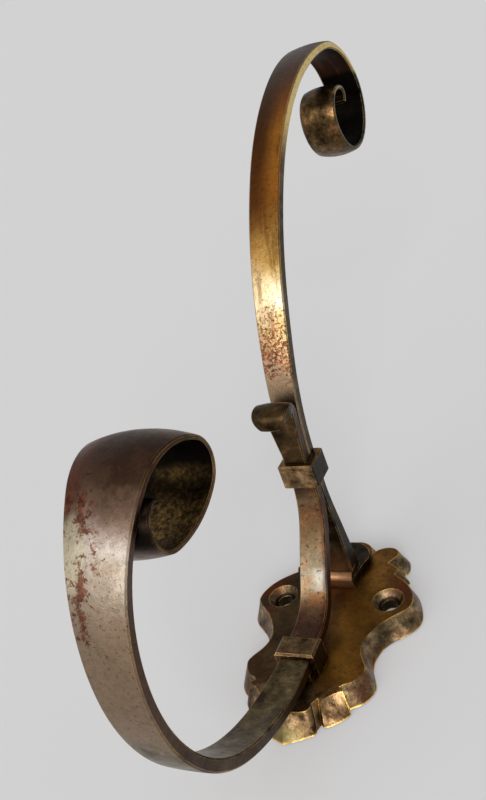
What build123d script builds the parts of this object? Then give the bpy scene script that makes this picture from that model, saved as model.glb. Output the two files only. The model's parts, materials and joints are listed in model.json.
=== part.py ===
"""Double coat hook: a cast brass wall plate carries two forged flat arms that end in scrolls.

X runs along the wall, -Y stands out from it and Z is up. The origin lies on the wall,
midway between the two screw holes.
"""
from build123d import *
import os
from math import cos, radians, sin, tan

# ---- wall plate --------------------------------------------------------------
plate_thickness = 5.0
screw_spacing = 30.0
screw_hole_radius = 2.2
countersink_radius = 4.1
saddle_height = 2.3          # cast block that the lower arm lies on
saddle_length = 10.0
saddle_inset = 0.3           # the saddle stays this far inside the arm's sides

# ---- the two arms: main sizes -----------------------------------------------------
upper_rise = 95.0            # from the collar up to the top of the upper scroll
upper_scroll_width = 10.8
upper_scroll_crown = 0.8
hook_drop = 49.0             # from the end of the straight run down to the lowest point of the hook
hook_scroll_width = 21.5
hook_scroll_crown = 1.5
nub_length = 14.0            # from the collar to where the nub rolls over
nub_width = 9.4
nub_crown = 0.5

# ---- bar stock and where the two arms run --------------------------------------
bar_thickness = 2.9
edge_chamfer = 0.35          # worn corners of the bar
slight_crown = 0.1
hollow_share = 0.6           # how much of a bar's crown shows as a hollow on its other face
slope = 38                   # degrees that the lower arm falls between collar and saddle
knee_radius = 20.0
heel_radius = 12.8
lower_bar_z = 6.7            # middle of the lower arm inside the collar
collar_start = 33.0          # out from the plate's front face
collar_length = 6.8
collar_wall = 1.25           # above and below the two bars
collar_cheek = 1.6           # at their sides
grip_width = 6.4             # both arms are drawn in to this width inside the collar
collar_round = 0.6

# ---- foot of the upper arm -----------------------------------------------------
foot_plain = 10.0            # straight length behind the collar
foot_sway = 5                # degrees that the foot sways down and back on its way to the plate
foot_thickness = 5.0
foot_width = 9.0
toe_z = 4.0                  # lower end of the toe and of the leaf
toe_radius = 2.0
leaf_thickness = 2.2
leaf_width = 12.6
leaf_top_z = 19.5

# ---- staple over the lower arm --------------------------------------------------
staple_run = 12.0            # straight length of the lower arm that lies on the saddle
staple_length = 6.2
staple_wall = 1.15
staple_bevel = 0.5
staple_bar_width = 8.0       # width of the arm where the staple holds it
staple_pin_radius = 0.9

# ---- fixings that come in from the back ------------------------------------------
foot_screw_radius = 1.5
foot_screw_head_radius = 2.9
foot_screw_z = 8.7
foot_screw_grip = 9.0        # how far the screw reaches past the plate's front face
fit_clearance = 0.05

out_of_wall = Plane(origin=(0, -plate_thickness, 0), x_dir=(0, -1, 0), z_dir=(-1, 0, 0))
front_face = Plane(origin=(0, -plate_thickness, 0), x_dir=(1, 0, 0), z_dir=(0, -1, 0))
wall_face = Plane(origin=(0, 0, 0), x_dir=(1, 0, 0), z_dir=(0, -1, 0))
upper_bar_z = lower_bar_z + bar_thickness

os.makedirs("parts", exist_ok=True)


def face_line(left, right, middle_height):
    """One broad face of a bar in section: straight, or an arc where the face is crowned."""
    if abs(middle_height - left[1]) < 1e-6:
        Line(left, right)
    else:
        ThreePointArc(left, (0, middle_height), right)


def bar_section(plane, width, thickness, crown):
    """A flat bar's section. Its outer face bulges by crown, and its inner face is hollow to match.

    A crown below zero turns the section over, for a bar that curls the other way.
    """
    outer = -thickness / 2 + (crown if crown > 0 else hollow_share * crown)
    inner = thickness / 2 + (hollow_share * crown if crown > 0 else crown)
    corner = min(edge_chamfer, 0.3 * (inner - outer))
    side = width / 2
    flat = side - corner
    with BuildSketch(plane) as section:
        with BuildLine():
            face_line((-flat, outer), (flat, outer), -thickness / 2)
            Polyline((flat, outer), (side, outer + corner), (side, inner - corner), (flat, inner))
            face_line((flat, inner), (-flat, inner), thickness / 2)
            Polyline((-flat, inner), (-side, inner - corner), (-side, outer + corner), (-flat, outer))
        make_face()
    return section.sketch


def bent_bar(start, heading, first, bends):
    """A flat bar bent on arcs in the plane square to the wall, and the point it ends at.

    first is the width, thickness and crown at the start. Each bend is a radius, a turn in
    degrees and those three sizes at its end. A turn of 0 makes a straight run, and its first
    number is then a length.
    """
    x, y = start
    angle = radians(heading)
    length = 0.0
    stations = [(length, first)]
    with BuildLine(out_of_wall) as route:
        for radius, turn, *sizes in bends:
            ahead = (cos(angle), sin(angle))
            if turn == 0:
                end = (x + radius * ahead[0], y + radius * ahead[1])
                Line((x, y), end)
                length += radius
            else:
                JernArc((x, y), ahead, radius, turn)
                after = angle + radians(turn)
                reach = radius if turn > 0 else -radius
                end = (x + reach * (sin(after) - sin(angle)), y - reach * (cos(after) - cos(angle)))
                angle = after
                length += radius * abs(radians(turn))
            x, y = end
            stations.append((length, sizes))
    path = route.wire()
    sections = []
    for distance, sizes in stations:
        at = min(distance / length, 1.0)
        sections.append(bar_section(Plane(origin=path @ at, x_dir=(1, 0, 0), z_dir=path % at), *sizes))
    return sweep(sections=sections, path=path, multisection=True, mode=Mode.PRIVATE), (x, y)


def drawn_out(size, narrow, wide, crown, shares):
    """Bends in millimetres for a bar that is drawn out and curled.

    Each row is the radius as a share of size (or the length of a straight run), the turn in
    degrees, how far the bar has widened from narrow (0) to wide (1), and how much it has of its
    full thickness and of the crown.
    """
    return [
        (size * radius, turn, narrow + widened * (wide - narrow), bar_thickness * left, crown * curved)
        for radius, turn, widened, left, curved in shares
    ]


# ---- upper arm ------------------------------------------------------------------
grip = (grip_width, bar_thickness, 0)
foot_reach = collar_start - foot_plain - toe_radius
foot_radius = foot_reach / (2 * sin(radians(foot_sway)))
foot_bends = [
    (foot_plain, 0, *grip),
    (foot_radius, foot_sway, (grip_width + foot_width) / 2, (bar_thickness + foot_thickness) / 2, 0),
    (foot_radius, -foot_sway, foot_width, foot_thickness, 0),
]
upper_bends = drawn_out(upper_rise, grip_width, upper_scroll_width, upper_scroll_crown, [
    (0.651, 22.3, 0.30, 1.00, 0.12),
    (1.642, 5.8, 0.39, 1.00, 0.19),
    (1.042, 18.9, 0.45, 1.00, 0.19),
    (0.716, 25.1, 0.57, 0.93, 0.25),
    (0.558, 22.8, 0.77, 0.79, 0.44),
    (0.197, 68.8, 0.95, 0.59, 0.88),
    (0.142, 98.1, 1.00, 0.52, 1.00),
    (0.124, 95.5, 0.95, 0.52, 1.00),
    (0.081, 119.8, 0.86, 0.48, 0.75),
    (0.0305, 112.8, 0.73, 0.38, 0.38),
])
plain_run = [(collar_length, 0, *grip)]
upper_grip, upper_rise = bent_bar((collar_start, upper_bar_z), 0, grip, plain_run)
upper_scroll, upper_tip = bent_bar(upper_rise, 0, grip, upper_bends)
foot_bar, foot_end = bent_bar((collar_start, upper_bar_z), 180, grip, foot_bends)

with BuildPart() as upper_arm:
    add(upper_grip)
    add(upper_scroll)
    add(foot_bar)
    with BuildSketch(front_face) as leaf:
        with BuildLine():
            half = leaf_width / 2
            neck = foot_width / 2
            wide_z = leaf_top_z - half
            waist = (neck + 0.3 * (half - neck), (toe_z + wide_z) / 2)
            Line((-neck, toe_z), (neck, toe_z))
            ThreePointArc((neck, toe_z), waist, (half, wide_z))
            ThreePointArc((half, wide_z), (0, leaf_top_z), (-half, wide_z))
            ThreePointArc((-half, wide_z), (-waist[0], waist[1]), (-neck, toe_z))
        make_face()
    extrude(amount=leaf_thickness)
    with BuildSketch(out_of_wall) as toe:
        toe_middle = toe_z + toe_radius
        with Locations((toe_radius, toe_middle)):
            Circle(toe_radius)
        with Locations((0, toe_middle)):
            Rectangle(2 * toe_radius, foot_end[1] - toe_middle, align=(Align.MIN, Align.MIN))
    extrude(amount=foot_width / 2, both=True)
    with Locations(Plane(origin=(0, -plate_thickness, foot_screw_z), x_dir=(-1, 0, 0), z_dir=(0, 1, 0))):
        Hole(foot_screw_radius + fit_clearance, depth=foot_screw_grip + fit_clearance)
upper_arm.part.label = "upper_arm"
export_step(upper_arm.part, "parts/upper_arm.step")

# ---- lower arm -------------------------------------------------------------------
knee_rise = knee_radius * sin(radians(slope)) + heel_radius * (1 - sin(radians(slope)))
diagonal = (collar_start - saddle_height - bar_thickness / 2 - knee_rise) / cos(radians(slope))
knee_width = (grip_width + staple_bar_width) / 2
flat_section = (staple_bar_width, bar_thickness, 0)
knee_bends = [
    (knee_radius, slope, knee_width, bar_thickness, slight_crown),
    (diagonal, 0, (knee_width + staple_bar_width) / 2, bar_thickness, slight_crown),
    (heel_radius, 90 - slope, *flat_section),
]
hook_bends = drawn_out(hook_drop, staple_bar_width, hook_scroll_width, hook_scroll_crown, [
    (1.169, 29.3, 0.06, 1.00, 0.07),
    (0.765, 31.2, 0.13, 1.00, 0.10),
    (0.829, 32.9, 0.24, 0.93, 0.17),
    (0.931, 50.2, 0.68, 0.72, 0.60),
    (0.294, 79.1, 1.00, 0.55, 1.00),
    (0.151, 106.6, 1.00, 0.52, 0.93),
    (0.457, 44, 0.92, 0.52, 0.87),
    (0.143, 91.4, 0.84, 0.48, 0.73),
    (0.096, 79.3, 0.77, 0.45, 0.53),
    (0.049, 55.6, 0.70, 0.34, 0.20),
])
nub_bends = drawn_out(nub_length, grip_width, nub_width, -nub_crown, [
    (0.34, 0, 0.03, 1.00, 0.2),
    (0.33, 0, 0.27, 1.00, 0.2),
    (0.33, 0, 0.60, 1.00, 0.4),
    (0.228, -70, 1.00, 1.00, 0.8),
    (0.221, -65, 0.87, 0.93, 1.0),
    (0.214, -50, -0.27, 0.66, 0.6),
])
flat_run = [(staple_run, 0, *flat_section)]
lower_grip, nub_start = bent_bar((collar_start, lower_bar_z), 0, grip, plain_run)
nub, nub_tip = bent_bar(nub_start, 0, grip, nub_bends)
knee, knee_end = bent_bar((collar_start, lower_bar_z), 180, grip, knee_bends)
flat, flat_end = bent_bar(knee_end, 270, flat_section, flat_run)
hook, hook_tip = bent_bar(flat_end, 270, flat_section, hook_bends)

with BuildPart() as lower_arm:
    add(lower_grip)
    add(nub)
    add(knee)
    add(flat)
    add(hook)
lower_arm.part.label = "lower_arm"
export_step(lower_arm.part, "parts/lower_arm.step")

# ---- wall plate -------------------------------------------------------------------
# The right half of the outline, from the crown down to the tip of the middle tooth, in
# runs that start where the last one ended. A point is (x, z) on the front face and how far
# the cast wall spreads from there to the back. One point makes a straight line, two make an
# arc and more make a smooth curve.
crown_top = (0, 22.0, 0, 2.0)
outline = [
    [(3.8, 20.8, 0.9, 1.9), (5.6, 17.1, 1.0, 1.7)],                         # half of the crown
    [(9.4, 19.8, 1.3, 2.1), (12.2, 19.1, 1.7, 1.2), (13.1, 17.6, 2.3, -0.6),
     (12.2, 15.5, 2.9, -0.9), (11.1, 13.8, 2.9, 0.2)],                      # shoulder
    [(13.2, 12.7, 2.0, 0.6), (14.8, 11.3, 1.9, 0.2)],                       # small lobe
    [(14.1, 9.5, 2.1, 0.6)],
    [(18.3, 6.3, 1.5, 0.6), (21.2, 1.8, 1.6, -0.6), (21.5, -1.8, 1.9, -1.5),
     (18.8, -4.8, 2.0, -2.4), (15.0, -9.1, 2.3, -1.2), (12.6, -15.4, 2.6, -1.6),
     (14.1, -19.8, 2.1, -1.0), (15.8, -23.2, 2.0, -1.5), (14.9, -25.9, 2.0, -2.0),
     (12.0, -28.1, 2.0, -2.4)],                                             # ear, waist, lobe
    [(11.0, -28.9, 2.1, -2.2)],                                             # first groove
    [(12.4, -30.1, 1.5, -2.5)],
    [(10.0, -31.5, 0.9, -4.3), (8.0, -33.9, 0.6, -3.2)],                    # side tooth
    [(7.0, -32.7, 0.7, -3.6)],                                              # second groove
    [(5.9, -34.4, 1.2, -3.6)],
    [(5.8, -36.0, 1.2, -3.2), (4.8, -37.0, 1.3, -2.8)],                     # middle tooth
    [(2.6, -37.4, 0.7, -4.1), (0, -37.6, 0, -5.3)],
]


def half_outline(plane, share):
    """Half of the plate's outline, at a share of the way from the front face to the back."""
    def spread(point):
        x, z, across, up = point
        return (x + share * across, z + share * up)

    with BuildSketch(plane) as half:
        with BuildLine():
            here = spread(crown_top)
            for run in outline:
                there = [spread(point) for point in run]
                if len(run) == 1:
                    Line(here, there[0])
                elif len(run) == 2:
                    ThreePointArc(here, *there)
                else:
                    Spline(here, *there)
                here = there[-1]
            Line(here, spread(crown_top))
        make_face()
    return half.sketch


leg_x = staple_bar_width / 2 + fit_clearance + staple_wall / 2
staple_z = knee_end[1] - staple_run / 2

with BuildPart() as back_plate:
    add(half_outline(front_face, 0))
    add(half_outline(wall_face, 1))
    loft(ruled=True)
    mirror(about=Plane.YZ)
    with BuildSketch(front_face) as saddle:
        with Locations((0, staple_z)):
            Rectangle(staple_bar_width - 2 * saddle_inset, saddle_length)
    extrude(amount=saddle_height)
    with Locations(front_face):
        with GridLocations(screw_spacing, 0, 2, 1):
            CounterSinkHole(screw_hole_radius, countersink_radius)
        with Locations((leg_x, staple_z), (-leg_x, staple_z)):
            Hole(staple_pin_radius + fit_clearance)
    with Locations(Plane(origin=(0, 0, foot_screw_z), x_dir=(-1, 0, 0), z_dir=(0, 1, 0))):
        CounterSinkHole(foot_screw_radius + fit_clearance, foot_screw_head_radius)
back_plate.part.label = "back_plate"
export_step(back_plate.part, "parts/back_plate.step")

# ---- collar that binds the two arms -------------------------------------------------
with BuildPart() as collar:
    with BuildSketch(front_face.offset(collar_start)):
        with Locations((0, lower_bar_z + bar_thickness / 2)):
            RectangleRounded(grip_width + 2 * collar_cheek, 2 * (bar_thickness + collar_wall), collar_round)
            Rectangle(grip_width, 2 * bar_thickness, mode=Mode.SUBTRACT)
    extrude(amount=collar_length)
    ends = collar.faces().filter_by(Axis.Y)
    chamfer([edge for end in ends for edge in end.outer_wire().edges()], edge_chamfer)
collar.part.label = "collar"
export_step(collar.part, "parts/collar.step")

# ---- staple ------------------------------------------------------------------------
with BuildPart() as staple:
    inside_width = staple_bar_width + 2 * fit_clearance
    inside_height = saddle_height + bar_thickness
    with BuildSketch(Plane(origin=(0, -plate_thickness, staple_z - staple_length / 2),
                           x_dir=(1, 0, 0), z_dir=(0, 0, 1))):
        with Locations((0, -(inside_height + staple_wall) / 2)):
            Rectangle(inside_width + 2 * staple_wall, inside_height + staple_wall)
        with Locations((0, -inside_height / 2)):
            Rectangle(inside_width, inside_height, mode=Mode.SUBTRACT)
    extrude(amount=staple_length)
    chamfer(staple.faces().sort_by(Axis.Y)[0].edges(), staple_bevel)
    with BuildSketch(front_face):
        with Locations((leg_x, staple_z), (-leg_x, staple_z)):
            Circle(staple_pin_radius)
    extrude(amount=-plate_thickness)
staple.part.label = "staple"
export_step(staple.part, "parts/staple.step")

# ---- screw from the back into the foot ----------------------------------------------
foot_screw_head_depth = (foot_screw_head_radius - foot_screw_radius) / tan(radians(41))

with BuildPart(Plane(origin=(0, 0, foot_screw_z), x_dir=(1, 0, 0), z_dir=(0, -1, 0))) as foot_screw:
    bottom = (Align.CENTER, Align.CENTER, Align.MIN)
    Cylinder(foot_screw_radius, plate_thickness + foot_screw_grip, align=bottom)
    Cone(foot_screw_head_radius, foot_screw_radius, foot_screw_head_depth, align=bottom)
foot_screw.part.label = "foot_screw"
export_step(foot_screw.part, "parts/foot_screw.step")
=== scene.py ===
import json
import math

import bpy
from mathutils import Matrix, Vector


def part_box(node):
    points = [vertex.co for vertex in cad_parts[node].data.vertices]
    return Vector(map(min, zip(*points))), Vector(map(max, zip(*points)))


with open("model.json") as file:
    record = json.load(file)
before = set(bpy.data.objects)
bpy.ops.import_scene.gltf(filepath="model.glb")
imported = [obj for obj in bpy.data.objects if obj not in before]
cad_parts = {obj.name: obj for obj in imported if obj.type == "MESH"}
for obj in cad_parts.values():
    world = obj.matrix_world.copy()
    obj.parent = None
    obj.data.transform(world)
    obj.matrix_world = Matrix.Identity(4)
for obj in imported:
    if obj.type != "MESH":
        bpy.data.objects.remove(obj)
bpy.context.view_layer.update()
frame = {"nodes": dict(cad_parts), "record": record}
scene = bpy.context.scene
nodes = frame["nodes"]

# ---- camera ---------------------------------------------------------------------
# The place and the two directions give the photograph's viewing angle.
CAMERA_PLACE = Vector((0.104769, -0.165332, -0.162505))
CAMERA_RIGHT = Vector((0.86435, 0.32580, 0.38308))
CAMERA_DOWN = Vector((-0.07110, 0.83328, -0.54827))
FOCAL_SHARE = 1.16355               # focal length as a share of the picture's long side
SENSOR = 36.0                       # millimetres, along the picture's long side
NEAREST_SEEN = 0.01
FARTHEST_SEEN = 20.0


def make_camera():
    data = bpy.data.cameras.new("view_camera")
    camera = bpy.data.objects.new("view_camera", data)
    scene.collection.objects.link(camera)
    right = CAMERA_RIGHT.normalized()
    forward = right.cross(CAMERA_DOWN).normalized()
    up = -forward.cross(right)
    turn = Matrix((right, up, -forward)).transposed()
    camera.matrix_world = Matrix.Translation(CAMERA_PLACE) @ turn.to_4x4()
    data.sensor_fit = "AUTO"
    data.sensor_width = SENSOR
    data.lens = SENSOR * FOCAL_SHARE
    data.clip_start = NEAREST_SEEN
    data.clip_end = FARTHEST_SEEN
    scene.camera = camera


make_camera()


# ---- node helpers ---------------------------------------------------------------
def linear(channel):
    share = channel / 255.0
    return share / 12.92 if share <= 0.04045 else ((share + 0.055) / 1.055) ** 2.4


def seen(colour):
    """A colour as it is seen, 0 to 255, in the linear values that Blender works in."""
    return tuple(linear(channel) for channel in colour) + (1.0,)


class Shader:
    """A material's node tree, with short calls for the nodes that the finishes share.

    The finishes below call it s. Limits are a pair of values: a mask is 0 at the first, 1 at the
    second and smooth between. A colour is either a socket or (red, green, blue) as seen, 0 to 255.
    """

    def __init__(self, name):
        self.material = bpy.data.materials.new(name)
        self.material.use_nodes = True
        self.tree = self.material.node_tree
        self.tree.nodes.clear()
        self.output = self.node("ShaderNodeOutputMaterial")
        self.bsdf = self.node("ShaderNodeBsdfPrincipled")
        self.link(self.bsdf.outputs["BSDF"], self.output.inputs["Surface"])
        self.place = self.node("ShaderNodeTexCoord").outputs["Object"]
        self.geometry = self.node("ShaderNodeNewGeometry")
        self.normal = self.geometry.outputs["Normal"]
        self.x, self.y, self.z = self.split(self.place)

    # -- plumbing
    def node(self, kind):
        return self.tree.nodes.new(kind)

    def link(self, source, target):
        self.tree.links.new(source, target)

    def put(self, value, socket):
        if isinstance(value, bpy.types.NodeSocket):
            self.link(value, socket)
        else:
            socket.default_value = value

    def put_colour(self, colour, socket):
        self.put(colour if isinstance(colour, bpy.types.NodeSocket) else seen(colour), socket)

    # -- sums
    def math(self, operation, first, second=0.0):
        node = self.node("ShaderNodeMath")
        node.operation = operation
        self.put(first, node.inputs[0])
        self.put(second, node.inputs[1])
        return node.outputs[0]

    def product(self, first, *others):
        for other in others:
            first = self.math("MULTIPLY", first, other)
        return first

    def plus(self, first, second, share=1.0):
        """first + share * second"""
        return self.math("ADD", first, self.math("MULTIPLY", second, share))

    def sum_of_squares(self, first, second):
        return self.math("ADD", self.math("MULTIPLY", first, first), self.math("MULTIPLY", second, second))

    def vector(self, operation, first, second=None):
        node = self.node("ShaderNodeVectorMath")
        node.operation = operation
        self.put(first, node.inputs[0])
        if second is not None:
            self.put(second, node.inputs[1])
        return node.outputs["Value" if operation == "DOT_PRODUCT" else "Vector"]

    def split(self, vector):
        node = self.node("ShaderNodeSeparateXYZ")
        self.link(vector, node.inputs[0])
        return [node.outputs[letter] for letter in "XYZ"]

    # -- masks
    def fade(self, value, limits, result=(0.0, 1.0)):
        node = self.node("ShaderNodeMapRange")
        node.interpolation_type = "SMOOTHSTEP"
        self.put(value, node.inputs["Value"])
        node.inputs["From Min"].default_value, node.inputs["From Max"].default_value = limits
        node.inputs["To Min"].default_value, node.inputs["To Max"].default_value = result
        return node.outputs["Result"]

    def noise(self, scale, detail, rough, stretch=None):
        node = self.node("ShaderNodeTexNoise")
        node.inputs["Scale"].default_value = scale
        node.inputs["Detail"].default_value = detail
        node.inputs["Roughness"].default_value = rough
        place = self.place
        if stretch:
            mapping = self.node("ShaderNodeMapping")
            mapping.inputs["Scale"].default_value = stretch
            self.link(place, mapping.inputs["Vector"])
            place = mapping.outputs["Vector"]
        self.link(place, node.inputs["Vector"])
        return node.outputs["Fac"]

    def patches(self, scale, detail, rough, limits, stretch=None):
        """Blotches where the noise is past the limits."""
        return self.fade(self.noise(scale, detail, rough, stretch), limits)

    def cells(self, scale):
        """0 at the middle of each small cell, and more towards its border."""
        node = self.node("ShaderNodeTexVoronoi")
        node.inputs["Scale"].default_value = scale
        self.link(self.place, node.inputs["Vector"])
        return node.outputs["Distance"]

    def drift(self, scale, amount):
        """Noise round 0, in metres, that makes a straight border wander."""
        return self.product(self.math("SUBTRACT", self.noise(scale, 4, 0.6), 0.5), amount)

    def facing(self, axis, limits):
        """A mask by how much a face looks along an axis: 0, 1 or 2 for X, Y or Z."""
        return self.fade(self.math("ABSOLUTE", self.split(self.normal)[axis]), limits)

    def facing_point(self, middle, limits):
        """A mask by how much a face looks away from a point: -1 straight at it, 1 straight away."""
        away = self.vector("NORMALIZE", self.vector("SUBTRACT", self.place, middle))
        return self.fade(self.vector("DOT_PRODUCT", away, self.normal), limits)

    def edges(self, radius, limits):
        """A mask along sharp edges, by how like the rounded normal is to the true one."""
        bevel = self.node("ShaderNodeBevel")
        bevel.samples = 6
        bevel.inputs["Radius"].default_value = radius
        return self.fade(self.vector("DOT_PRODUCT", bevel.outputs["Normal"], self.normal), limits)

    def openness(self, distance):
        """1 in the open, and less where another surface is near."""
        node = self.node("ShaderNodeAmbientOcclusion")
        node.samples = 8
        node.inputs["Distance"].default_value = distance
        return node.outputs["AO"]

    # -- colours
    def ramp(self, value, stops):
        """Colours along a value. A stop is (value from 0 to 1, colour as seen)."""
        node = self.node("ShaderNodeValToRGB")
        elements = node.color_ramp.elements
        while len(elements) < len(stops):
            elements.new(0.5)
        for element, (position, colour) in zip(elements, stops):
            element.position = position
            element.color = seen(colour)
        self.put(value, node.inputs["Fac"])
        return node.outputs["Color"]

    def ramp_along(self, place, start, end, stops):
        """Colours along the object. A stop is (place in metres from start to end, colour as seen)."""
        per_metre = 1.0 / (end - start)
        value = self.product(self.math("SUBTRACT", place, start), per_metre)
        return self.ramp(value, [((at - start) * per_metre, colour) for at, colour in stops])

    def mottle(self, scale, detail, rough, stops):
        """Colours by noise."""
        return self.ramp(self.noise(scale, detail, rough), stops)

    def mix(self, share, first, second):
        node = self.node("ShaderNodeMix")
        node.data_type = "RGBA"
        self.put(share, node.inputs["Factor"])
        self.put_colour(first, node.inputs["A"])
        self.put_colour(second, node.inputs["B"])
        return node.outputs["Result"]

    def coat(self, below, over, where, share=1.0):
        """One colour over another, where the mask says, covering at most the share."""
        return self.mix(self.product(where, share), below, over)

    def bump(self, height, distance, strength):
        node = self.node("ShaderNodeBump")
        node.inputs["Strength"].default_value = strength
        node.inputs["Distance"].default_value = distance
        self.link(height, node.inputs["Height"])
        self.link(node.outputs["Normal"], self.bsdf.inputs["Normal"])


# ---- what all the finishes share ----------------------------------------------------
# Places are in metres on the CAD frame: X along the wall, -Y out of it, Z up.
# near black brown: soot and grime, and painted shade in crevices and screw holes
SOOT_AND_SHADE = (26, 21, 15)
SIDE_FACES = (0.6, 0.9)                 # a bar's narrow sides, by how much they look along X
ALONG_X = 0
ALONG_Y = 1
CREVICE_SHADE_REACH = 0.0025                        # dirt and painted shade gather where surfaces are this near
HAMMER_DEPTH = 0.0006                   # how far the bump seems to go in and out

collar_low, collar_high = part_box("collar")
staple_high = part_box("staple")[1]


def aged_surface(s, colour, grime, rim, rim_colour, rim_share, roughness):
    """Grime, dirt and painted shade in the corners, worn edges with a painted highlight, pits and hammer
    marks.

    grime is the most that fine dirt covers. rim is the width of the worn edges, which also carry a painted
    highlight, and rim_share is how bare and bright they are. roughness goes from the smooth places to the
    rough ones.
    """
    fine = s.noise(scale=800, detail=6, rough=0.7)
    colour = s.coat(colour, SOOT_AND_SHADE, where=s.fade(fine, (0.42, 0.70)), share=grime)
    specks = s.patches(scale=1500, detail=3, rough=0.6, limits=(0.61, 0.68))
    colour = s.coat(colour, SOOT_AND_SHADE, where=specks, share=0.55)
    # painted shade with dirt: darker where another surface is near
    colour = s.coat(colour, SOOT_AND_SHADE, where=s.fade(s.openness(CREVICE_SHADE_REACH), (0.85, 0.35)), share=0.85)
    rubbed = s.patches(scale=260, detail=4, rough=0.6, limits=(0.35, 0.6))
    # worn edges, with a painted highlight along them in the rim colour
    worn_edge_and_glint = s.product(s.edges(rim, (0.98, 0.85)), rubbed)
    colour = s.coat(colour, rim_colour, where=worn_edge_and_glint, share=rim_share)
    s.put(colour, s.bsdf.inputs["Base Color"])
    s.bsdf.inputs["Metallic"].default_value = 1.0

    smear = s.plus(s.product(s.noise(scale=120, detail=5, rough=0.6), 0.7), fine, 0.3)
    s.put(s.fade(smear, (0.36, 0.64), result=roughness), s.bsdf.inputs["Roughness"])

    relief = s.plus(s.product(s.noise(scale=75, detail=3, rough=0.5), 1.2), fine, 0.30)
    relief = s.plus(relief, s.fade(s.cells(1500), (0.10, 0.30)), 0.05)
    s.bump(relief, HAMMER_DEPTH, strength=0.40)
    return s.material


# ---- back plate ---------------------------------------------------------------------
MILLIMETRES = 1000                      # in a metre
mounts = {mount["name"]: mount["dims"] for mount in frame["record"]["mounts"]}
screw_side = mounts["wall_screws"]["spacing_x_mm"] / 2 / MILLIMETRES    # from the middle to a hole
hole_radius = mounts["wall_screws"]["hole_r_mm"] / MILLIMETRES
plate_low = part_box("back_plate")[0]

PLATE_BRASS = [
    (0.34, (98, 62, 24)), (0.46, (128, 86, 34)), (0.56, (144, 100, 42)), (0.68, (112, 72, 34)),
]
PLATE_TIRED = [(0.38, (56, 41, 25)), (0.52, (80, 61, 37)), (0.66, (104, 80, 50))]
PLATE_WALL = [
    (0.36, (42, 36, 26)), (0.46, (88, 74, 52)), (0.55, (128, 106, 78)), (0.64, (176, 150, 114)),
]
PLATE_COPPER = [
    (0.38, (52, 36, 22)), (0.47, (104, 80, 54)), (0.55, (132, 104, 72)), (0.64, (176, 146, 108)),
]
LEFT_HALF = (0.002, -0.006)
RIGHT_HALF = (0.001, 0.006)
GOLD_LIGHT_BELOW = (0.012, 0.004)
BETWEEN_SCREWS = (screw_side, screw_side - 0.004)
EARS = (0.012, 0.018)
ARM_SHADE_SIDES = (0.006, 0.002)
ARM_SHADE_TOP = (0.020, 0.008)
WALL_FACES = (0.96, 0.80)
LOWER_LOBE = (plate_low.z + 0.0159, plate_low.z + 0.0099)
BEAK_SIDES = (0.007, 0.003)
BEAK_TOP = (plate_low.z + 0.0044, plate_low.z + 0.0019)
BORE_SHADE = (hole_radius + 0.0008, hole_radius + 0.0004)


def plate_finish():
    """Gold to brown brass, tired on its left half, with bronze walls and a coppery lower lobe, a pool of
    painted light in gold on its lower right, and painted shade under the arms and in the screw holes.
    """
    s = Shader("aged_plate")
    from_middle = s.math("ABSOLUTE", s.x)
    broad = s.noise(scale=70, detail=5, rough=0.6)
    colour = s.ramp(broad, PLATE_BRASS)
    colour = s.coat(colour, s.ramp(broad, PLATE_TIRED), where=s.fade(s.x, LEFT_HALF))
    # painted light: a brighter gold pool on the lower right, between the screws
    painted_gold_light = s.product(
        s.fade(s.x, RIGHT_HALF),
        s.fade(s.z, GOLD_LIGHT_BELOW),
        s.fade(from_middle, BETWEEN_SCREWS),
        s.fade(broad, (0.36, 0.52), result=(0.35, 0.95)),
    )
    colour = s.coat(colour, (160, 112, 44), where=painted_gold_light)
    dirt = s.patches(scale=60, detail=5, rough=0.7, limits=(0.46, 0.62))
    colour = s.coat(colour, (62, 40, 20), where=dirt, share=0.55)
    # painted shade: darker brown down the middle, under the arms
    painted_arm_shade = s.product(s.fade(from_middle, ARM_SHADE_SIDES), s.fade(s.z, ARM_SHADE_TOP))
    colour = s.coat(colour, (62, 42, 24), where=painted_arm_shade, share=0.5)
    blotches = s.patches(scale=110, detail=3, rough=0.5, limits=(0.45, 0.6))
    ruddy = s.product(s.fade(from_middle, EARS), blotches)
    colour = s.coat(colour, (112, 50, 30), where=ruddy, share=0.55)

    wall = s.facing(ALONG_Y, WALL_FACES)
    wall_colour = s.mottle(scale=190, detail=6, rough=0.7, stops=PLATE_WALL)
    colour = s.coat(colour, wall_colour, where=wall)
    colour = s.coat(colour, (134, 76, 54), where=s.product(wall, ruddy), share=0.5)

    copper = s.mottle(scale=280, detail=5, rough=0.65, stops=PLATE_COPPER)
    colour = s.coat(colour, copper, where=s.fade(s.z, LOWER_LOBE), share=0.9)
    # painted shade in and round the screw holes
    from_screw = s.math("SQRT", s.sum_of_squares(s.math("SUBTRACT", from_middle, screw_side), s.z))
    colour = s.coat(colour, SOOT_AND_SHADE, where=s.fade(from_screw, BORE_SHADE), share=0.9)
    beak = s.product(s.fade(from_middle, BEAK_SIDES), s.fade(s.z, BEAK_TOP))
    colour = s.coat(colour, (124, 110, 72), where=beak, share=0.8)
    return aged_surface(s, colour, grime=0.35, rim=0.0006, rim_colour=(240, 188, 90), rim_share=1.0,
                        roughness=(0.30, 0.48))


# ---- upper arm ----------------------------------------------------------------------
toe_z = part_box("upper_arm")[0].z

UPPER_SCROLL = (0, -0.105, 0.091)       # middle of the upper scroll
UPPER_RAMP = (0.0, 0.1)                 # heights that the two ramps span
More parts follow.
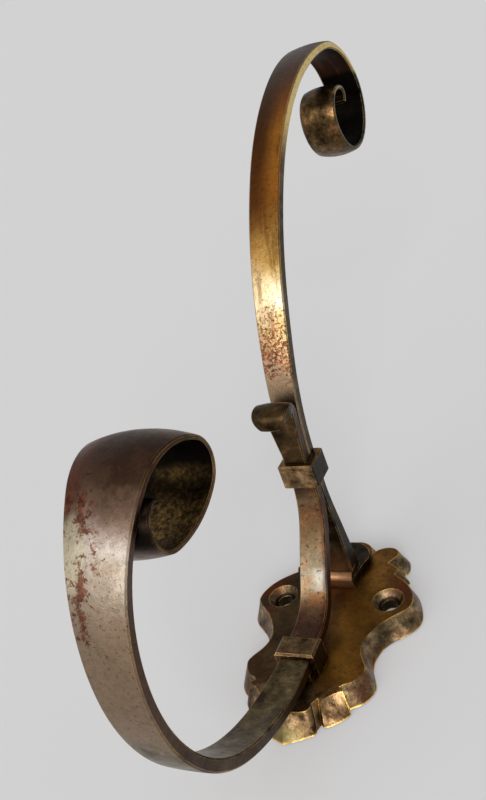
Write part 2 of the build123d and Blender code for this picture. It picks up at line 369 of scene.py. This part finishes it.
# Colours up the arm: patina, wear and rust, with a pale painted highlight from 0.0165 to 0.0245 m. The
# first ramp is for the lit right of the front face, the second for its left in painted shade.
UPPER_LIT = [
    (0.0100, (110, 84, 52)), (0.0125, (156, 116, 76)), (0.0165, (222, 192, 134)),
    (0.0200, (232, 218, 184)), (0.0240, (168, 136, 74)), (0.0280, (140, 100, 46)),
    (0.0350, (146, 90, 34)), (0.0460, (176, 114, 42)), (0.0550, (140, 84, 32)),
    (0.0650, (92, 56, 28)), (0.0780, (80, 52, 32)), (0.0860, (46, 27, 16)),
]
UPPER_SHADED = [
    (0.0110, (104, 80, 52)), (0.0125, (122, 92, 58)), (0.0165, (168, 128, 80)),
    (0.0200, (220, 198, 154)), (0.0245, (166, 126, 66)), (0.0290, (122, 78, 36)),
    (0.0340, (96, 56, 24)), (0.0460, (78, 44, 17)), (0.0560, (74, 46, 24)),
    (0.0750, (76, 52, 36)), (0.0860, (46, 27, 16)),
]
SCROLL_BRONZE = [
    (0.36, (40, 29, 18)), (0.46, (80, 61, 38)), (0.55, (104, 82, 50)), (0.65, (164, 112, 78)),
]
FOOT_DARK = [(0.38, (24, 20, 13)), (0.52, (54, 43, 29)), (0.64, (88, 70, 48))]
UPPER_SIDE_SHADE = [(0.4, (26, 24, 17)), (0.55, (50, 44, 31)), (0.68, (86, 74, 52))]
SHADED_LEFT = (0.0036, -0.0020)
GREYED = (0.0165, 0.0120)
RUST_FROM = (0.0100, 0.0135)
RUST_TO = (0.0225, 0.0140)
SCROLL_WALL_SIDE = (-0.1155, -0.1135)
SCROLL_ABOVE = (0.070, 0.076)
SCROLL_TOP = (0.084, 0.090)
FOOT = (collar_low.y + 0.0008, collar_high.y - 0.0020)
TOE_GLINT = (toe_z + 0.0035, toe_z + 0.0005)
BOW_OUT = (-0.1025, -0.1045)            # the rising arm, below the level of the scroll's curl
BOW_BELOW = (0.078, 0.074)
FAR_OUT = (-0.1125, -0.1150)            # beside the curl only the arm lies this far out
SIDE_GLINT_ABOVE = (0.040, 0.054)
LOOKS_AT = (0.15, -0.15)                # faces of a scroll that look towards its middle


def upper_finish():
    """Brass: greyed and rusty above the collar, then a pale painted highlight, then brown up to the scroll,
    with its left in painted shade.
    """
    s = Shader("worn_upper_arm")
    drift = s.drift(scale=90, amount=0.010)
    level = s.plus(s.z, drift)
    lit_brass = s.ramp_along(level, *UPPER_RAMP, UPPER_LIT)
    shaded_brass = s.ramp_along(level, *UPPER_RAMP, UPPER_SHADED)
    # painted shade: the left of the front face takes the darker ramp
    colour = s.coat(lit_brass, shaded_brass, where=s.fade(s.plus(s.x, drift, 0.3), SHADED_LEFT))
    streaks = s.patches(scale=150, detail=4, rough=0.6, limits=(0.50, 0.64), stretch=(3.5, 0.4, 0.4))
    colour = s.coat(colour, (92, 52, 20), where=streaks, share=0.55)

    colour = s.coat(colour, (172, 146, 118), where=s.fade(s.z, GREYED), share=0.7)
    rust_band = s.product(s.fade(s.z, RUST_FROM), s.fade(s.z, RUST_TO))
    speckle = s.plus(s.noise(scale=1300, detail=6, rough=0.75), rust_band, 0.13)
    speckle = s.product(s.fade(speckle, (0.58, 0.66)), s.fade(rust_band, (0.0, 0.3)))
    rust_tone = s.patches(scale=420, detail=3, rough=0.6, limits=(0.42, 0.58))
    rust = s.mix(rust_tone, (66, 32, 20), (128, 54, 28))
    colour = s.coat(colour, rust, where=speckle, share=0.9)

    bronze = s.mottle(scale=260, detail=5, rough=0.7, stops=SCROLL_BRONZE)
    # darker on the scroll's top: patina, and painted shade
    bronze = s.coat(bronze, (30, 24, 16), where=s.fade(s.z, SCROLL_TOP), share=0.85)
    # painted shade: near black on the faces inside the scroll
    bronze = s.coat(bronze, (8, 7, 6), where=s.facing_point(UPPER_SCROLL, LOOKS_AT), share=0.97)
    scroll = s.product(s.fade(s.y, SCROLL_WALL_SIDE), s.fade(s.z, SCROLL_ABOVE))
    colour = s.coat(colour, bronze, where=scroll)

    foot = s.mottle(scale=220, detail=5, rough=0.65, stops=FOOT_DARK)
    # the toe: copper, with a painted glint on its lower edge
    foot = s.coat(foot, (206, 154, 110), where=s.fade(s.z, TOE_GLINT), share=0.9)
    colour = s.coat(colour, foot, where=s.fade(s.y, FOOT))

    # the narrow sides: darker in painted shade, and up the bow and beside the curl a pale gold painted
    # highlight
    side = s.mottle(scale=260, detail=5, rough=0.65, stops=UPPER_SIDE_SHADE)
    bow = s.product(s.fade(s.y, BOW_OUT), s.fade(s.z, BOW_BELOW))
    side_glint = s.product(s.math("MAXIMUM", bow, s.fade(s.y, FAR_OUT)), s.fade(s.z, SIDE_GLINT_ABOVE))
    side = s.coat(side, (244, 216, 140), where=side_glint, share=0.9)
    colour = s.coat(colour, side, where=s.facing(ALONG_X, SIDE_FACES), share=0.9)
    return aged_surface(s, colour, grime=0.25, rim=0.0004, rim_colour=(232, 204, 140), rim_share=0.8,
                        roughness=(0.26, 0.42))


# ---- lower arm ----------------------------------------------------------------------
KNEE_RAMP = (0.0, -0.05)                # along Y, from the wall outwards
# The paler stops at -0.0155 and -0.0185 are partly a painted highlight.
KNEE_COLOURS = [
    (-0.0085, (76, 56, 42)), (-0.0110, (80, 56, 44)), (-0.0130, (118, 88, 62)),
    (-0.0155, (142, 122, 94)), (-0.0185, (142, 128, 106)), (-0.0230, (114, 96, 74)),
    (-0.0270, (98, 74, 50)), (-0.0310, (110, 78, 54)), (-0.0335, (124, 98, 72)),
    (-0.0360, (78, 60, 44)),
]
NUB_COLOURS = [
    (0.36, (38, 29, 18)), (0.50, (70, 54, 34)), (0.60, (86, 66, 40)), (0.70, (130, 88, 62)),
]
HIGHLIGHT_OUT_TO = (-0.0205, -0.0190)
HIGHLIGHT_IN_TO = (-0.0140, -0.0150)
HIGHLIGHT_RIGHT = (-0.0010, 0.0015)
DARK_RIGHT_RIM = (0.0022, 0.0034)
NUB = (collar_low.y + 0.0008, collar_low.y - 0.0007)

INNER_COLOURS = [
    (0.36, (58, 46, 30)), (0.48, (104, 88, 60)), (0.58, (124, 106, 72)), (0.68, (160, 138, 98)),
]
OUTER_RAMP = (-0.085, -0.035)           # heights from below the hook's lowest point upwards
# The pale stops round -0.0675, where the bare patch lies, are partly a painted highlight.
OUTER_COLOURS = [
    (-0.0800, (142, 118, 94)), (-0.0750, (146, 124, 102)), (-0.0710, (156, 140, 122)),
    (-0.0675, (184, 172, 160)), (-0.0645, (154, 134, 120)), (-0.0615, (116, 92, 76)),
    (-0.0570, (88, 66, 50)), (-0.0540, (78, 54, 40)), (-0.0480, (72, 50, 38)),
    (-0.0420, (108, 88, 70)),
]
RISING_HALF = (-0.038, -0.046)          # from here outwards the outer colours take over
BROWN_ABOVE = (-0.062, -0.057)
RUDDY_LEFT = (-0.003, -0.007)
RUDDY_ABOVE = (-0.063, -0.058)
HOOK_BELOW = (-0.020, -0.028)

PATCH_X = -0.0052                       # middle of the bare patch
PATCH_Z = -0.0668
PATCH_HALF_WIDTH = 0.0030
PATCH_HALF_HEIGHT = 0.0042
OUTER_FACE = (-0.060, -0.066)
STREAK_X = -0.0032                      # a streak of rust runs down beside the patch
STREAK_SIDES = (0.0014, 0.0004)
STREAK_ENDS = (3.2, 2.0)                # in half heights of the patch

LOWER_SCROLL = (0, -0.080, -0.050)      # middle of the lower scroll
SCROLL_GOLD = [(0.38, (84, 64, 36)), (0.50, (152, 120, 70)), (0.62, (228, 180, 104))]
SCROLL_OUT = (-0.062, -0.068)
SCROLL_UP = (-0.068, -0.062)
LIT_WALL_SIDE = (-0.0785, -0.0740)
LIT_RIGHT = (-0.007, 0.004)
LIT_ABOVE = (-0.064, -0.051)
LIT_BELOW = (-0.0425, -0.0480)
CURL_LEAN = 0.278                       # the curl's outer border leans out this much as it rises
CURL_PIVOT_Z = -0.0579                  # height at which CURL_BORDER is a place along Y
CURL_BORDER = (-0.0838, -0.0832)
CURL_OUT = (-0.073, -0.078)
CURL_TOP = (-0.0415, -0.0440)
CURL_BOTTOM = (-0.0645, -0.0635)


def knee_colour(s, drift):
    """From the nub to the staple: grey brown, with a whitish painted highlight just above the staple."""
    along = s.plus(s.y, drift, 0.7)
    colour = s.ramp_along(along, *KNEE_RAMP, KNEE_COLOURS)
    tan_spots = s.patches(scale=170, detail=4, rough=0.6, limits=(0.53, 0.60))
    colour = s.coat(colour, (148, 98, 60), where=tan_spots, share=0.4)
    # painted highlight: whitish, on the right just above the staple
    painted_highlight = s.product(s.fade(along, HIGHLIGHT_OUT_TO), s.fade(along, HIGHLIGHT_IN_TO), s.fade(s.x, HIGHLIGHT_RIGHT))
    colour = s.coat(colour, (196, 196, 186), where=painted_highlight, share=0.4)
    dark_spots = s.patches(scale=700, detail=3, rough=0.65, limits=(0.60, 0.65))
    colour = s.coat(colour, (58, 36, 28), where=dark_spots, share=0.7)
    colour = s.coat(colour, (66, 30, 24), where=s.fade(s.x, DARK_RIGHT_RIM), share=0.7)
    nub = s.mottle(scale=210, detail=5, rough=0.65, stops=NUB_COLOURS)
    return s.coat(colour, nub, where=s.fade(s.y, NUB))


def hook_colour(s, drift):
    """The inner face below the staple, and the outer face on the way up."""
    level = s.plus(s.z, drift)
    inner = s.mottle(scale=190, detail=6, rough=0.7, stops=INNER_COLOURS)
    outer = s.ramp_along(level, *OUTER_RAMP, OUTER_COLOURS)
    colour = s.coat(inner, outer, where=s.fade(s.y, RISING_HALF))
    blotches = s.patches(scale=160, detail=4, rough=0.6, limits=(0.46, 0.58))
    colour = s.coat(colour, (50, 34, 24), where=s.product(s.fade(level, BROWN_ABOVE), blotches), share=0.5)
    ruddy = s.product(s.fade(s.x, RUDDY_LEFT), s.fade(level, RUDDY_ABOVE))
    return s.coat(colour, (118, 58, 38), where=ruddy, share=0.45)


def add_bare_patch(s, drift, colour):
    """A pale bare patch with rust round it, on the left of the hook's outer face; its paleness is partly a
    painted highlight.

    far is the square of the distance from the patch's middle, in half widths and half heights.
    """
    sideways = s.plus(s.math("SUBTRACT", s.x, PATCH_X), drift, 0.3)
    sideways = s.math("DIVIDE", sideways, PATCH_HALF_WIDTH)
    upward = s.math("DIVIDE", s.math("SUBTRACT", s.z, PATCH_Z), PATCH_HALF_HEIGHT)
    far = s.sum_of_squares(sideways, upward)
    outside = s.fade(s.y, OUTER_FACE)
    # the pale patch: bare metal, partly a painted highlight
    bare = s.product(s.fade(far, (1.5, 0.6)), outside)
    colour = s.coat(colour, (194, 182, 152), where=bare, share=0.7)

    ring = s.product(s.fade(far, (5.5, 1.6)), s.fade(far, (0.2, 1.1)))
    from_streak = s.plus(s.math("SUBTRACT", s.x, STREAK_X), drift, -0.15)
    streak = s.fade(s.math("ABSOLUTE", from_streak), STREAK_SIDES)
    streak = s.product(streak, s.fade(s.math("ABSOLUTE", upward), STREAK_ENDS))
    blots = s.plus(s.noise(scale=520, detail=7, rough=0.78), ring, 0.09)
    blots = s.fade(s.plus(blots, streak, 0.07), (0.585, 0.64))
    dots = s.patches(scale=620, detail=3, rough=0.6, limits=(0.66, 0.69))
    dots = s.product(dots, s.fade(far, (30.0, 8.0)))
    rusty = s.math("MAXIMUM", s.product(blots, s.fade(far, (10.0, 4.0))), dots)
    rust_tone = s.patches(scale=900, detail=3, rough=0.6, limits=(0.4, 0.6))
    rust = s.mix(rust_tone, (78, 36, 22), (124, 64, 38))
    return s.coat(colour, rust, where=s.product(rusty, outside), share=0.85)


def add_scroll_inside(s, drift, colour):
    """Olive gold specks in painted light on the scroll's wall side, painted shade elsewhere inside it, and
    near black painted shade in its curl.
    """
    gold = s.mottle(scale=1000, detail=5, rough=0.75, stops=SCROLL_GOLD)
    lit = s.product(
        s.fade(s.plus(s.y, drift, 0.5), LIT_WALL_SIDE),
        s.fade(s.x, LIT_RIGHT),
        s.fade(s.z, LIT_ABOVE),
        s.fade(s.z, LIT_BELOW, result=(0.25, 1.0)),
    )
    # painted shade: near black inside the scroll away from the lit part
    gold = s.coat((14, 11, 7), gold, where=lit)
    inside = s.facing_point(LOWER_SCROLL, LOOKS_AT)
    inside = s.product(inside, s.fade(s.y, SCROLL_OUT), s.fade(s.z, SCROLL_UP))
    colour = s.coat(colour, gold, where=inside)
    leaning = s.plus(s.y, s.math("SUBTRACT", s.z, CURL_PIVOT_Z), CURL_LEAN)
    # painted shade: near black in the curl
    curl = s.product(
        s.fade(leaning, CURL_BORDER),
        s.fade(s.y, CURL_OUT),
        s.fade(s.z, CURL_TOP),
        s.fade(s.z, CURL_BOTTOM),
    )
    return s.coat(colour, (18, 14, 10), where=curl, share=0.96)


def lower_finish():
    """Greyer, browner metal than the upper arm's, with rust and a bare patch on the hook, a painted
    highlight above the staple, and painted shade on its sides and inside the scroll.
    """
    s = Shader("worn_lower_arm")
    drift = s.drift(scale=80, amount=0.012)
    hook = hook_colour(s, drift)
    hook = add_bare_patch(s, drift, hook)
    hook = add_scroll_inside(s, drift, hook)
    colour = s.coat(knee_colour(s, drift), hook, where=s.fade(s.z, HOOK_BELOW))
    # painted shade: darker brown on the narrow sides
    colour = s.coat(colour, (62, 42, 32), where=s.facing(ALONG_X, SIDE_FACES), share=0.85)
    return aged_surface(s, colour, grime=0.25, rim=0.0004, rim_colour=(222, 178, 104), rim_share=0.8,
                        roughness=(0.28, 0.44))


# ---- collar, staple and screw -------------------------------------------------------
BINDING_COLOURS = [
    (0.36, (54, 42, 27)), (0.45, (112, 88, 60)), (0.54, (144, 114, 78)), (0.64, (188, 152, 112)),
]
STAPLE_BELOW = (collar_low.z, staple_high.z)


def binding_finish():
    """Dark brass with sides near black in painted shade. The staple is darker than the collar."""
    s = Shader("dark_bindings")
    colour = s.mottle(scale=280, detail=6, rough=0.7, stops=BINDING_COLOURS)
    # painted shade: near black on the narrow sides
    colour = s.coat(colour, (13, 12, 9), where=s.facing(ALONG_X, SIDE_FACES), share=0.95)
    colour = s.coat(colour, (52, 40, 27), where=s.fade(s.z, STAPLE_BELOW), share=0.55)
    return aged_surface(s, colour, grime=0.4, rim=0.0005, rim_colour=(226, 172, 112), rim_share=0.9,
                        roughness=(0.30, 0.46))


bindings = binding_finish()
finishes = {
    "back_plate": plate_finish(),
    "upper_arm": upper_finish(),
    "lower_arm": lower_finish(),
    "collar": bindings,
    "staple": bindings,
    "foot_screw": bindings,
}
for name, material in finishes.items():
    for slot in nodes[name].material_slots:
        slot.material = material


# ---- backdrop, light ----------------------------------------------------------------
PALE = (220, 219, 219)
BACKDROP_SEEN = (209, 208, 208)
GLOW_SHARE = 0.35           # of the backdrop's own light in the camera's view, which softens the shadow
GLOSSY_GLOW_SHARE = 0.6     # the same in what the metal reflects, the back of the plate included
WALL_GAP = 0.0004           # the wall stands this far behind the plate
WALL_REACH = 60.0           # from its middle to each edge
WINDOW = Vector((-0.1, -0.5, -0.86)).normalized()       # direction towards the window
ROOM_DIM = 0.30             # the room's light away from the window
ROOM_BRIGHT = 0.70          # and towards it
SUNS = [                    # name, direction towards the light, strength, spread in degrees
    ("window_left", (-0.50, -0.46, -0.73), 0.34, 30),
    ("window_middle", (-0.10, -0.46, -0.88), 0.6, 30),
    ("window_right", (0.40, -0.42, -0.82), 1.6, 24),
]


def make_backdrop():
    """A matt wall behind the plate with some light of its own, clear when seen from behind."""
    mesh = bpy.data.meshes.new("backdrop")
    signs = ((-1, -1), (1, -1), (1, 1), (-1, 1))
    corners = [(x * WALL_REACH, WALL_GAP, z * WALL_REACH) for x, z in signs]
    mesh.from_pydata(corners, [], [(0, 1, 2, 3)])
    plane = bpy.data.objects.new("backdrop", mesh)
    scene.collection.objects.link(plane)

    s = Shader("pale_backdrop")
    s.bsdf.inputs["Base Color"].default_value = seen(PALE)
    s.bsdf.inputs["Roughness"].default_value = 1.0
    s.bsdf.inputs["Specular IOR Level"].default_value = 0.0
    glow = s.node("ShaderNodeEmission")
    glow.inputs["Color"].default_value = seen(BACKDROP_SEEN)
    rays = s.node("ShaderNodeLightPath").outputs
    in_metal = s.math("MAXIMUM", rays["Is Glossy Ray"], rays["Is Transmission Ray"])
    in_view = s.product(rays["Is Camera Ray"], GLOW_SHARE)
    share = s.math("MAXIMUM", in_view, s.product(in_metal, GLOSSY_GLOW_SHARE))
    soft = s.node("ShaderNodeMixShader")
    s.link(share, soft.inputs[0])
    s.link(s.bsdf.outputs["BSDF"], soft.inputs[1])
    s.link(glow.outputs["Emission"], soft.inputs[2])
    clear = s.node("ShaderNodeBsdfTransparent")
    wall = s.node("ShaderNodeMixShader")
    s.link(s.geometry.outputs["Backfacing"], wall.inputs[0])
    s.link(soft.outputs["Shader"], wall.inputs[1])
    s.link(clear.outputs["BSDF"], wall.inputs[2])
    s.link(wall.outputs["Shader"], s.output.inputs["Surface"])
    mesh.materials.append(s.material)


def make_world():
    """A plain pale room, a little brighter towards the window."""
    world = bpy.data.worlds.new("studio")
    world.use_nodes = True
    tree = world.node_tree
    coords = tree.nodes.new("ShaderNodeTexCoord")
    towards = tree.nodes.new("ShaderNodeVectorMath")
    towards.operation = "DOT_PRODUCT"
    towards.inputs[1].default_value = WINDOW
    tree.links.new(coords.outputs["Generated"], towards.inputs[0])
    level = tree.nodes.new("ShaderNodeMapRange")
    level.inputs["From Min"].default_value = -1.0
    level.inputs["To Min"].default_value = ROOM_DIM
    level.inputs["To Max"].default_value = ROOM_BRIGHT
    tree.links.new(towards.outputs["Value"], level.inputs["Value"])
    room = tree.nodes["Background"]
    room.inputs["Color"].default_value = (1.0, 1.0, 1.0, 1.0)
    tree.links.new(level.outputs["Result"], room.inputs["Strength"])
    in_view = tree.nodes.new("ShaderNodeBackground")
    in_view.inputs["Color"].default_value = seen(BACKDROP_SEEN)
    rays = tree.nodes.new("ShaderNodeLightPath")
    mix = tree.nodes.new("ShaderNodeMixShader")
    tree.links.new(rays.outputs["Is Camera Ray"], mix.inputs[0])
    tree.links.new(room.outputs["Background"], mix.inputs[1])
    tree.links.new(in_view.outputs["Background"], mix.inputs[2])
    tree.links.new(mix.outputs["Shader"], tree.nodes["World Output"].inputs["Surface"])
    scene.world = world


def make_sun(name, towards, strength, spread):
    data = bpy.data.lights.new(name, "SUN")
    data.energy = strength
    data.angle = math.radians(spread)
    lamp = bpy.data.objects.new(name, data)
    lamp.rotation_euler = (-Vector(towards)).to_track_quat("-Z", "Y").to_euler()
    scene.collection.objects.link(lamp)


make_backdrop()
make_world()
for sun in SUNS:
    make_sun(*sun)

scene.view_settings.view_transform = "Standard"
